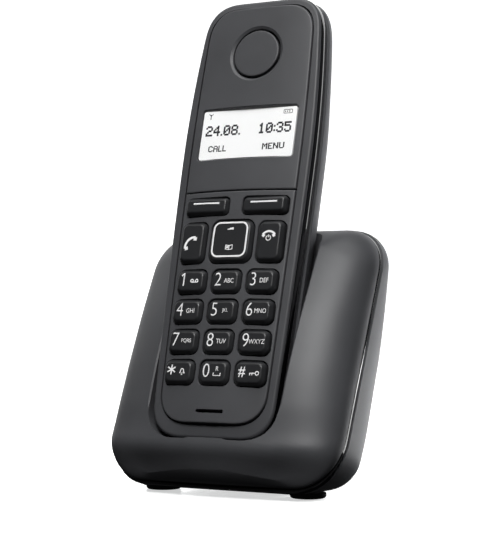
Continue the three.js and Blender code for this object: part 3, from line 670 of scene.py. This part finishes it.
def key_top(x, z, outline):
    """Height of a key's face: a slight pillow over the whole cap."""
    middle = (outline.top + outline.bottom) / 2
    half = (outline.top - outline.bottom) / 2
    across = (x - outline.x) / outline.half_width(middle)
    along = (z - middle) / half
    return -KEY_PROUD + 0.06 * (across * across + along * along)


def key_caps():
    """Every key: a hidden flange, a bevelled side and a pillowed face."""
    for name, outline in KEY_OUTLINES.items():
        layers = [(-0.6, KEY_BACK), (-0.6, FLOOR_BACK + GAP), *KEY_EDGE,
                  (1.7, lambda x, z, o=outline: key_top(x, z, o))]
        place(name + "_cap", layered(outline, layers), IN_HANDSET, name, KEYS, "keys", name, crease=50)


def window_and_display():
    """The clear window, and the stepped display module behind it."""
    opening = rectangle(0, DISPLAY_Z, DISPLAY_WIDTH, DISPLAY_HEIGHT, 1, across=20)
    lens = layered(opening, [(0.1, 1.4), (0, 1.3), (0, crowned(0.3)), (0.1, crowned(0.17)),
                             (0.3, crowned(0.14))])
    place("display_window_lens", lens, IN_HANDSET, "handset", LENS, "lens", "display_window")
    frame_outline = rectangle(0, DISPLAY_Z, LCD_WIDTH, LCD_HEIGHT, 0.8)
    screen = rectangle(0, DISPLAY_Z, DISPLAY_WIDTH - 0.4, DISPLAY_HEIGHT - 0.4, 0.8)
    module = stacked([frame_outline, frame_outline, screen, screen], [6.9, 4.4, 4.4, SCREEN_Y])
    place("lcd_module_screen", module, IN_HANDSET, "handset", LCD, "display", "lcd_module")


# ---- Legends ----

def mesh_of(curve):
    """The mesh that a curve or a text makes."""
    item = linked("outline", curve)
    bpy.context.view_layer.update()
    mesh = bpy.data.meshes.new_from_object(item.evaluated_get(bpy.context.evaluated_depsgraph_get()))
    bpy.data.objects.remove(item)
    return mesh


def lettering(text, height, x, z, thin=0.012, narrow=0.86):
    """Flat letters of a given height, centred at x and z. `thin` takes weight off their strokes."""
    curve = bpy.data.curves.new("lettering", "FONT")
    curve.body = text
    curve.offset = -thin
    curve.extrude = 0.01
    mesh = mesh_of(curve)
    xs = [v.co.x for v in mesh.vertices]
    ys = [v.co.y for v in mesh.vertices]
    scale = height / (max(ys) - min(ys))
    centre = Vector(((max(xs) + min(xs)) / 2, (max(ys) + min(ys)) / 2))
    for vertex in mesh.vertices:
        at = vertex.co.copy()
        vertex.co = (x + (at.x - centre.x) * scale * narrow, -0.02 if at.z > 0 else 0.02,
                     z + (at.y - centre.y) * scale)
    return mesh


def stroke(points, width, closed=False):
    """A printed line through points (x, z): a flattened cord with rounded ends."""
    curve = bpy.data.curves.new("stroke", "CURVE")
    curve.dimensions = "3D"
    curve.bevel_depth = width / 2
    curve.bevel_resolution = 2
    curve.use_fill_caps = True
    line = curve.splines.new("POLY")
    line.points.add(len(points) - 1)
    for point, (x, z) in zip(line.points, points):
        point.co = (x, 0, z, 1)
    line.use_cyclic_u = closed
    mesh = mesh_of(curve)
    for vertex in mesh.vertices:
        vertex.co.y *= 0.08 / width
    return mesh


def arc(x, z, radius, start, finish, steps=12):
    angles = [math.radians(start + (finish - start) * i / steps) for i in range(steps + 1)]
    return [(x + radius * math.cos(a), z + radius * math.sin(a)) for a in angles]


def rounded_square(x, z, width, height, radius):
    points = []
    for corner, (sx, sz) in enumerate(((1, 1), (-1, 1), (-1, -1), (1, -1))):
        points += arc(x + sx * (width / 2 - radius), z + sz * (height / 2 - radius), radius,
                      90 * corner, 90 * corner + 90, 6)
    return points


def receiver(x, z, size, turn):
    """A telephone receiver, seen from the side: an arched grip with two heavy ends."""
    spread = 52
    grip = arc(x, z - 0.75 * size, size, 90 - spread + turn, 90 + spread + turn, 10)
    ends = []
    for angle in (90 - spread + turn, 90 + spread + turn):
        inner = arc(x, z - 0.75 * size, size * 0.66, angle, angle, 1)[0]
        outer = arc(x, z - 0.75 * size, size * 1.0, angle, angle, 1)[0]
        ends.append(stroke([inner, outer], 0.36 * size))
    return [stroke(grip, 0.24 * size), *ends]


def key_legend(name, *marks):
    """Puts printed marks on a key's face."""
    outline = KEY_OUTLINES[name]
    mesh = together(*marks)
    middle = (outline.top + outline.bottom) / 2
    for vertex in mesh.vertices:
        x, z = vertex.co.x + outline.x, vertex.co.z + middle
        vertex.co = (x, vertex.co.y + key_top(x, z, outline) - 0.005, z)
    place(name + "_legend", mesh, IN_HANDSET, name, INK, "keys")


LETTERS = {"2": "ABC", "3": "DEF", "4": "GHI", "5": "JKL", "6": "MNO", "7": "PQRS", "8": "TUV",
           "9": "WXYZ"}
DIGIT_AT = (-2.5, 0.6)  # from the middle of a key
LETTERS_AT = (1.6, 0.1)
DIGIT_HEIGHT = 4.5
LETTER_HEIGHT = 1.55
LINE = 0.34


def legends():
    """Everything printed on the keys. Marks are placed from the middle of their own key."""
    dx, dz = DIGIT_AT
    lx, lz = LETTERS_AT
    for digit, group in LETTERS.items():
        key_legend("key_" + digit, lettering(digit, DIGIT_HEIGHT, dx, dz),
                   lettering(group, LETTER_HEIGHT, lx, lz, thin=0.0))
    flag = stroke([(dx - 0.05, dz + 2.0), (dx - 1.0, dz + 1.25)], 0.5)
    key_legend("key_1", lettering("1", DIGIT_HEIGHT, dx, dz), flag,
               stroke(arc(lx - 0.9, lz, 0.5, 0, 360, 14), LINE),
               stroke(arc(lx + 0.9, lz, 0.5, 0, 360, 14), LINE),
               stroke([(lx - 0.9, lz - 0.5), (lx + 0.9, lz - 0.5)], LINE))
    space_bar = [(lx - 1.3, lz - 0.3), (lx - 1.3, lz - 1.2), (lx + 1.3, lz - 1.2), (lx + 1.3, lz - 0.3)]
    key_legend("key_0", lettering("0", DIGIT_HEIGHT, dx, dz), lettering("R", 1.45, lx, lz + 1.1, thin=0.0),
               stroke(space_bar, LINE))
    spokes = [stroke([(dx - 1.7 * math.cos(a), dz - 1.7 * math.sin(a)),
                      (dx + 1.7 * math.cos(a), dz + 1.7 * math.sin(a))], 0.45)
              for a in (math.pi / 2, math.pi / 6, -math.pi / 6)]
    bell = [(-0.95, -0.6), (-0.6, -0.2), (-0.55, 0.4), (-0.25, 0.85),
            (0.25, 0.85), (0.55, 0.4), (0.6, -0.2), (0.95, -0.6)]
    key_legend("key_star", *spokes, stroke([(lx + x, lz + z) for x, z in bell], LINE, closed=True),
               stroke([(lx - 0.25, lz - 1.05), (lx + 0.25, lz - 1.05)], LINE))
    key_legend("key_hash", lettering("#", 3.5, dx + 0.1, dz - 0.3, thin=-0.006),
               stroke(arc(lx + 1.6, lz - 0.2, 0.6, 0, 360, 14), LINE),
               stroke([(lx + 1.0, lz - 0.2), (lx - 1.2, lz - 0.2)], LINE),
               stroke([(lx - 1.0, lz - 0.2), (lx - 1.0, lz - 0.9)], LINE),
               stroke([(lx - 0.2, lz - 0.2), (lx - 0.2, lz - 0.8)], LINE))
    for name in ("soft_key_left", "soft_key_right"):
        key_legend(name, stroke([(-5.0, 0.9), (5.0, 0.9)], 0.6))
    key_legend("talk_key", *receiver(0.9, 0.9, 3.4, 48))
    key_legend("end_key", *receiver(-0.2, 2.5, 2.9, 0), stroke(arc(-0.2, 0.9, 0.85, 115, 425, 14), 0.3),
               stroke([(-0.2, 1.1), (-0.2, 2.0)], 0.3))
    ring = rounded_square(-0.2, 0.5, 12.6, 11.8, 2.2)
    page = [(-1.3, -2.9), (-1.3, -1.5), (-0.1, -1.7), (-0.1, -3.1)]
    facing_page = [(-x - 0.1, z) for x, z in page]
    key_legend("nav_key", stroke(ring, 0.62, closed=True), stroke([(-1.4, 4.1), (0.9, 4.1)], 0.34),
               stroke([(-0.6, 4.3), (0.9, 4.5)], 0.5),
               stroke(page, 0.36, closed=True), stroke(facing_page, 0.36, closed=True),
               stroke([(-0.7, -1.9), (-0.7, -2.6)], 0.7))


# ---- What the display shows ----

# Each letter of the display as rows of dots, from the top.
DOTS = {
    "0": ".###. #...# #..## #.#.# ##..# #...# .###.",
    "1": "..#.. .##.. ..#.. ..#.. ..#.. ..#.. .###.",
    "2": ".###. #...# ....# ..##. .#... #.... #####",
    "3": ".###. #...# ....# ..##. ....# #...# .###.",
    "4": "...#. ..##. .#.#. #..#. ##### ...#. ...#.",
    "5": "##### #.... ####. ....# ....# #...# .###.",
    "8": ".###. #...# #...# .###. #...# #...# .###.",
    ".": ". . . . . . #",
    ":": ". . # . . # .",
    "M": "#...# ##.## #.#.# #.#.# #...# #...# #...#",
    "E": "#### #... #... ###. #... #... ####",
    "N": "#...# ##..# ##..# #.#.# #..## #..## #...#",
    "U": "#...# #...# #...# #...# #...# #...# .###.",
    "C": ".###. #...# #.... #.... #.... #...# .###.",
    "A": ".###. #...# #...# ##### #...# #...# #...#",
    "L": "#... #... #... #... #... #... ####",
}


def dot_text(text, x, z, wide, high):
    """Dot-matrix letters from their upper left corner, as one flat bar for each run of dots."""
    bars = []
    for letter in text:
        rows = DOTS[letter].split()
        for r, row in enumerate(rows):
            for run in range(len(row)):
                if row[run] == "#" and (run == 0 or row[run - 1] != "#"):
                    end = run
                    while end < len(row) and row[end] == "#":
                        end += 1
                    bars.append(box(x + run * wide, x + (end + 0.3) * wide, -0.012, 0.01,
                                    z - (r + 1.3) * high, z - r * high))
        x += (len(rows[0]) + 1) * wide
    return bars


def display_marks():
    """What the display shows: a date, a time, two soft-key words, a signal mark and a battery."""
    left, right, top = -DISPLAY_WIDTH / 2, DISPLAY_WIDTH / 2, DISPLAY_HEIGHT / 2
    marks = dot_text("24.08.", left + 1.7, 3.6, 0.5, 0.53)
    marks += dot_text("10:35", right - 14.4, 3.6, 0.5, 0.53)
    marks += dot_text("CALL", left + 3.6, -3.9, 0.33, 0.31)
    marks += dot_text("MENU", right - 12.0, -3.9, 0.38, 0.31)
    marks += [stroke([(left + 2.2, top - 1.1), (left + 3.0, top - 1.9), (left + 3.8, top - 1.1)], 0.3),
              stroke([(left + 3.0, top - 1.3), (left + 3.0, top - 3.2)], 0.3)]
    cell = rounded_square(right - 3.6, top - 1.9, 3.2, 1.3, 0.2)
    marks.append(stroke(cell, 0.24, closed=True))
    marks += [stroke([(right - 4.6 + 0.8 * k, top - 1.65), (right - 4.6 + 0.8 * k, top - 2.15)], 0.4)
              for k in range(3)]
    mesh = together(*marks)
    for vertex in mesh.vertices:
        vertex.co = (vertex.co.x, vertex.co.y + SCREEN_Y - 0.02, vertex.co.z + DISPLAY_Z)
    place("lcd_segments", mesh, IN_HANDSET, "handset", SEGMENTS, "display")


# ---- Base ----

BASE = Outline(BASE_BOTTOM, BASE_TOP, BASE_HALF_WIDTH, *BASE_CORNERS, BASE_SQUARENESS,
               arc=12, side=44, across=30)
BAND = Outline(BASE_BOTTOM + 0.4, BASE_TOP, BASE_HALF_WIDTH, *BASE_CORNERS, BASE_SQUARENESS,
               arc=12, side=44, across=30)
FRONT = Outline(CHIN_EDGE, BASE_TOP, BASE_HALF_WIDTH, *FRONT_CORNERS, BASE_SQUARENESS,
                arc=12, side=44, across=30)
BACK_SQUARING = 7  # how much tighter the lower corners get at the back
# Distances from the parting line to the front and to the back, by height, and how far the chin's sides
# fall back behind its middle.
front_reach = smooth_profile([(2, 4), (6, 6.6), (12, 11.2), (18, 15.25), (21, 15.5), (32, 17.6), (45, 18.8),
                              (58, 19), (72, 17.6), (84, 15.5), (BASE_TOP, 13)])
back_reach = smooth_profile([(2, 20), (10, 23), (19, 24), (31, 23.3), (45, 22), (58, 19.5), (77, 13.6),
                             (BASE_TOP, 8)])
chin_bow = smooth_profile([(2, 2.6), (9, 2.2), (15, 0.5), (19, 0.1), (26, 0.1), (45, 0.1), (BASE_TOP, 0)])
POCKET_HALF_WIDTH = 25.4
POCKET_TAPER = 1.3
POCKET_FLOOR = -0.6
LIP_BACK = -0.5
LIP_TOP = 1.9
RIM_BEVEL = 0.5
FRONT_POWER = 2.3  # squareness of the base's bow from side to side


def parting(z):
    """Depth of the parting line at a height."""
    return PARTING_Y + z * PARTING_LEAN


def base_ring(whole, margin, wall=0.0, squaring=0.0):
    """An outline of the base drawn in by a margin, less at its ends than at its sides."""
    inner = whole.inset(wall)
    bottom_radius = max(0.3, inner.bottom_radius - squaring - 0.8 * margin)
    top_radius = max(0.3, inner.top_radius - 0.8 * margin)
    return Outline(inner.bottom + 0.15 * margin, inner.top - 0.35 * margin,
                   BASE_HALF_WIDTH - wall - margin, bottom_radius, top_radius,
                   BASE.squareness, arc=BASE.arc, side=BASE.side, across=BASE.across)


def front_skin(wall, start=0.0):
    """The base's bowed front: outlines and depths from the parting line to its middle."""
    power = 2 / FRONT_POWER
    outlines = [base_ring(FRONT, 0, wall)] if start else []
    depths = [lambda x, z: parting(z) + start] if start else []
    steps = 26
    for i in range(steps + 1):
        angle = math.pi / 2 * 0.93 * (i / steps) ** 1.2
        share = math.sin(angle) ** power
        margin = (BASE_HALF_WIDTH - wall) * (1 - math.cos(angle) ** power)

        def depth(x, z, share=share):
            bow = chin_bow(z) * min(1, (x / POCKET_HALF_WIDTH) ** 2)
            return parting(z) - share * (front_reach(z) - wall - bow)
        outlines.append(base_ring(FRONT, margin, wall))
        depths.append(depth)
    return stacked(outlines, depths)


def opening(bottom, grow=0.0):
    """Outline of the pocket in the handset's frame: narrower at its foot, and open at its top."""
    def half_width(z):
        return POCKET_HALF_WIDTH - POCKET_TAPER * max(0, 1 - max(0, z) / 50) + grow
    return Outline(bottom - grow, 150, half_width, 12 + grow / 2, 2, 2.3, arc=14, side=24, across=10)


def pocket(grow):
    """Space for the docked handset, open along its own axis."""
    back = POCKET_BACK + grow
    layers = [(0, LIP_BACK - grow), (0, back - 9), (0.4, back - 6), (1.2, back - 4), (2.2, back - 2.2),
              (3.6, back - 1), (5.2, back - 0.3), (7, back)]
    well = layered(opening(POCKET_FLOOR, grow), layers)
    mouth = layered(opening(LIP_TOP, grow), [(0, POCKET_FRONT - grow), (0, LIP_BACK + 3)])
    return moved(boolean(well, mouth, "UNION"), LEANED)


def rim_depth(x, z):
    """Depth of the base's front face in the handset's frame, found by stepping onto it."""
    across = min(1, abs(x) / BASE_HALF_WIDTH) ** (FRONT_POWER / 2)
    share = math.sin(math.acos(across)) ** (2 / FRONT_POWER)
    y = 0.0
    for _ in range(8):
        at = LEANED @ Vector((x, y, z))
        bow = chin_bow(at.z) * min(1, (x / POCKET_HALF_WIDTH) ** 2)
        y += parting(at.z) - share * (front_reach(at.z) - bow) - at.y
    return y


def pocket_rim():
    """The cut that bevels the edge where the pocket meets the base's front face."""
    return moved(layered(opening(LIP_TOP), [
        (-RIM_BEVEL, -12), (-RIM_BEVEL, rim_depth),
        (0.03, lambda x, z: rim_depth(x, z) + RIM_BEVEL)]), LEANED)


def parting_slab(y0, y1):
    """Everything between two planes alongside the parting line."""
    corners = [(x, parting(z) + y, z) for x in (-60, 60) for y in (y0, y1) for z in (-10, 110)]
    return mesh_from(corners, BOX_FACES)


def base_front():
    """The bowed front half of the base, with the walls of the handset's pocket inside it."""
    hollow = boolean(front_skin(BASE_WALL, start=0.5), pocket(POCKET_WALL))
    shell = boolean(front_skin(0), hollow)
    tub = boolean(pocket(POCKET_WALL), pocket(0))
    tub = boolean(tub, parting_slab(-1, 60), "INTERSECT")
    tub = boolean(tub, box(-60, 60, -60, 90, 0, BASE_TOP - 6), "INTERSECT")
    shell = boolean(shell, tub, "UNION")
    shell = boolean(boolean(shell, pocket(0)), pocket_rim())
    slots = [moved(box(side * STRIP_X - 1.8, side * STRIP_X + 1.8, 12.1, 16.3, -6, 4), LEANED)
             for side in (-1, 1)]
    shell = boolean(shell, together(*slots))
    place("base_front_skin", shell, IN_BASE, "base", CASING, "casing", "base_front_shell", crease=30)


def base_band():
    """The gloss strip between the two halves of the base."""
    layers = ((2.8, 0.3), (0.8, 0.3), (0.5, 0.4), (0.32, 0.7), (0.26, 1.3), (0.26, 2), (0.34, 2.7),
              (0.55, 3.1), (0.85, 3.35), (1.2, BAND_DEPTH), (2.8, BAND_DEPTH))
    outlines = [BAND.inset(margin) for margin, _ in layers]
    depths = [lambda x, z, step=step: parting(z) + step for _, step in layers]
    band = boolean(stacked(outlines, depths, hoop=True), pocket(POCKET_WALL + GAP))
    place("base_trim_band_gloss", band, IN_BASE, "base", GLOSS, "gloss_band", "base_trim_band")


def back_skin(wall, begin):
    """The base's back, from a little behind the parting line: a slab with rounded edges."""
    outlines = []
    depths = []
    for i in range(17):
        angle = math.pi / 2 * i / 16
        share = math.sin(angle) ** 0.8
        margin = 5 * (1 - math.cos(angle) ** 0.8)
        outlines.append(base_ring(BASE, margin, wall, BACK_SQUARING * share))
        depths.append(lambda x, z, s=share: parting(z) + begin + s * (back_reach(z) - wall - begin))
    return stacked(outlines, depths)


def stand(grow):
    """The wedge behind the slab, that keeps the base from tipping back."""
    outlines = []
    depths = []
    stations = [(0, 0), (0.25, 0), (0.5, 0), (0.75, 0), (0.9, 0), (0.96, 0.3), (0.985, 0.9), (1, 2)]
    for t, margin in stations:
        half = STAND_ROOT[0] + (STAND_END[0] - STAND_ROOT[0]) * t - margin + grow
        high = STAND_ROOT[1] + (STAND_END[1] - STAND_ROOT[1]) * t - margin + grow
        outlines.append(Outline(BASE_BOTTOM - grow, high, half, 0.4, 6, 2.2, arc=8, side=4, across=12))
        depths.append(lambda x, z, t=t: (parting(z) + 5) * (1 - t) + (STAND_BACK + grow) * t)
    return stacked(outlines, depths)


def base_rear():
    """The back half of the base with its stand, two socket mouths and the paging key's hole."""
    outer = boolean(back_skin(0, BAND_DEPTH + GAP), stand(0), "UNION")
    cavity = boolean(back_skin(BASE_WALL, 0.5), stand(-BASE_WALL), "UNION")
    shell = boolean(outer, cavity)
    shell = boolean(shell, pocket(POCKET_WALL + GAP))
    mouths = [box(-10.5, -0.7, 60, 90, 8.5, 15.5), box(3.8, 10.6, 60, 90, 8.5, 15.1)]
    opening = turned([(0, 12), (4.7, 12), (4.7, 38), (0, 38)], y=PAGING_Y)
    screws = [turned([(0, 0), (1.9, 0), (1.9, 6), (0, 6)], x=side * 15, y=40, steps=32) for side in (-1, 1)]
    shell = boolean(shell, together(*mouths, opening, *screws))
    place("base_rear_skin", shell, IN_BASE, "base", CASING, "casing", "base_rear_shell", crease=30)


def paging_key():
    """The round key on the stand that calls the handset, slightly dished."""
    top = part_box("paging_key")[1].z / MM
    profile = [(0, 9), (1.6, 9), (1.6, 20), (4.4, 20), (4.4, top - 0.9), (4.3, top - 0.5), (4.0, top - 0.2),
               (3.6, top - 0.04), (3.0, top), (2.0, top - 0.12), (0.9, top - 0.2), (0, top - 0.22)]
    place("paging_key_cap", turned(profile, y=PAGING_Y), IN_BASE, "paging_key", KEYS, "keys", "paging_key")


def feet():
    """Rubber pads under the base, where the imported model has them."""
    for name in ("foot_front_left", "foot_front_right", "foot_rear_left", "foot_rear_right"):
        low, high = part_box(name)
        x = (low.x + high.x) / 2 / MM
        y = (low.y + high.y) / 2 / MM - SHIFT
        pad = turned([(0, 0), (5.0, 0), (5.4, 0.05), (5.75, 0.25), (6, 0.7), (6, 1.7), (0, 1.7)], x, y, 48)
        place(name + "_pad", pad, IN_BASE, "base", RUBBER, "foot_rubber", name)


# ---- Parts shown as they are ----

def carried_over():
    """Finishes for the inner pieces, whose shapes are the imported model's own."""
    finishes = {
        SILICONE: ["keypad_mat"],
        BOARD: ["handset_circuit_board", "base_circuit_board"],
        STEEL: ["earpiece_receiver", "ringer_speaker", "charge_strip_left", "charge_strip_right",
                "handset_screw_left", "handset_screw_right", "base_screw_left", "base_screw_right"],
        SPRING: ["battery_spring_1", "battery_spring_2", "battery_contact_plate", "handset_antenna",
                 "base_antenna", "base_contact_left", "base_contact_right"],
        SLEEVE: ["battery_cell_1", "battery_cell_2"],
        SOCKET: ["line_socket", "power_socket", "microphone_capsule"],
    }
    for material, names in finishes.items():
        for name in names:
            node = frame["nodes"][name]
            node.data.materials.clear()
            node.data.materials.append(material)


# ---- Studio ----

LIGHTS_AIM = Vector((0, 0, 0.08))  # in metres, like the rest of the studio
CAMERA_AZIMUTH = 27.67
CAMERA_ELEVATION = -1.63
CAMERA_AT = Vector((237.75, -423.11 + SHIFT, 61.51))  # in millimetres

def soft_light(name, location, size, power, shine=True):
    """A soft panel aimed at the phone. Without `shine` it lights the piece but isn't reflected in it."""
    data = bpy.data.lights.new(name, "AREA")
    data.shape = "RECTANGLE"
    data.size, data.size_y = size
    data.energy = power
    item = linked(name, data)
    item.visible_glossy = shine
    item.location = location
    item.rotation_euler = (LIGHTS_AIM - Vector(location)).to_track_quat("-Z", "Y").to_euler()


def sheet_of(name, corners, strength):
    """A plain white sheet of the studio, that doesn't light the piece."""
    mesh = bpy.data.meshes.new(name)
    mesh.from_pydata(corners, [], [(0, 1, 2, 3)])
    mesh.materials.append(painted_glow_and_studio_sheet("studio_" + name, (0.9, 0.9, 0.9), strength))
    item = linked(name, mesh)
    item.visible_diffuse = False
    return item


def studio():
    """Floor, backdrop, a patch of table that is only seen reflected, and four light panels."""
    floor = sheet_of("floor", [(-4, -4, 0), (4, -4, 0), (4, 4, 0), (-4, 4, 0)], 0.62)
    floor.visible_glossy = False
    table = sheet_of("table", [(0, 0.03, 0.001), (0.6, 0.03, 0.001), (0.6, 0.9, 0.001), (0, 0.9, 0.001)], 0.7)
    table.visible_camera = False
    table.visible_shadow = False
    backdrop = sheet_of("backdrop", [(-1.6, 1.6, 0), (1.6, 1.6, 0), (1.6, 1.8, 1.6), (-1.6, 1.8, 1.6)], 0.92)
    backdrop.rotation_euler.z = math.radians(CAMERA_AZIMUTH)
    world = bpy.data.worlds.new("studio")
    world.use_nodes = True
    world.node_tree.nodes["Background"].inputs["Color"].default_value = (0.96, 0.97, 1, 1)
    world.node_tree.nodes["Background"].inputs["Strength"].default_value = 0.03
    bpy.context.scene.world = world
    bpy.context.scene.view_settings.view_transform = "Standard"
    soft_light("key_light", (0.3, -0.75, 0.92), (0.4, 0.4), 13.5)
    soft_light("sky", (-0.1, -0.15, 1.3), (1, 1), 10)
    soft_light("rear_strip", (0.38, 1.0, 0.3), (0.15, 0.6), 40, shine=False)
    soft_light("left_strip", (-0.9, 0.1, 0.6), (0.2, 0.5), 0.6)


def camera():
    data = bpy.data.cameras.new("camera")
    data.lens = 100
    data.sensor_width = 36
    data.clip_start = 0.01
    item = linked("camera", data)
    azimuth = math.radians(CAMERA_AZIMUTH)
    elevation = math.radians(CAMERA_ELEVATION)
    item.location = CAMERA_AT * MM
    outward = Vector((math.sin(azimuth) * math.cos(elevation), -math.cos(azimuth) * math.cos(elevation),
                      math.sin(elevation)))
    item.rotation_euler = (-outward).to_track_quat("-Z", "Y").to_euler()
    bpy.context.scene.camera = item


camera()
studio()
face_plates()
front_shell()
side_trim()
rear_shell()
battery_cover()
earpiece()
key_caps()
window_and_display()
legends()
display_marks()
base_front()
base_band()
base_rear()
paging_key()
feet()
carried_over()
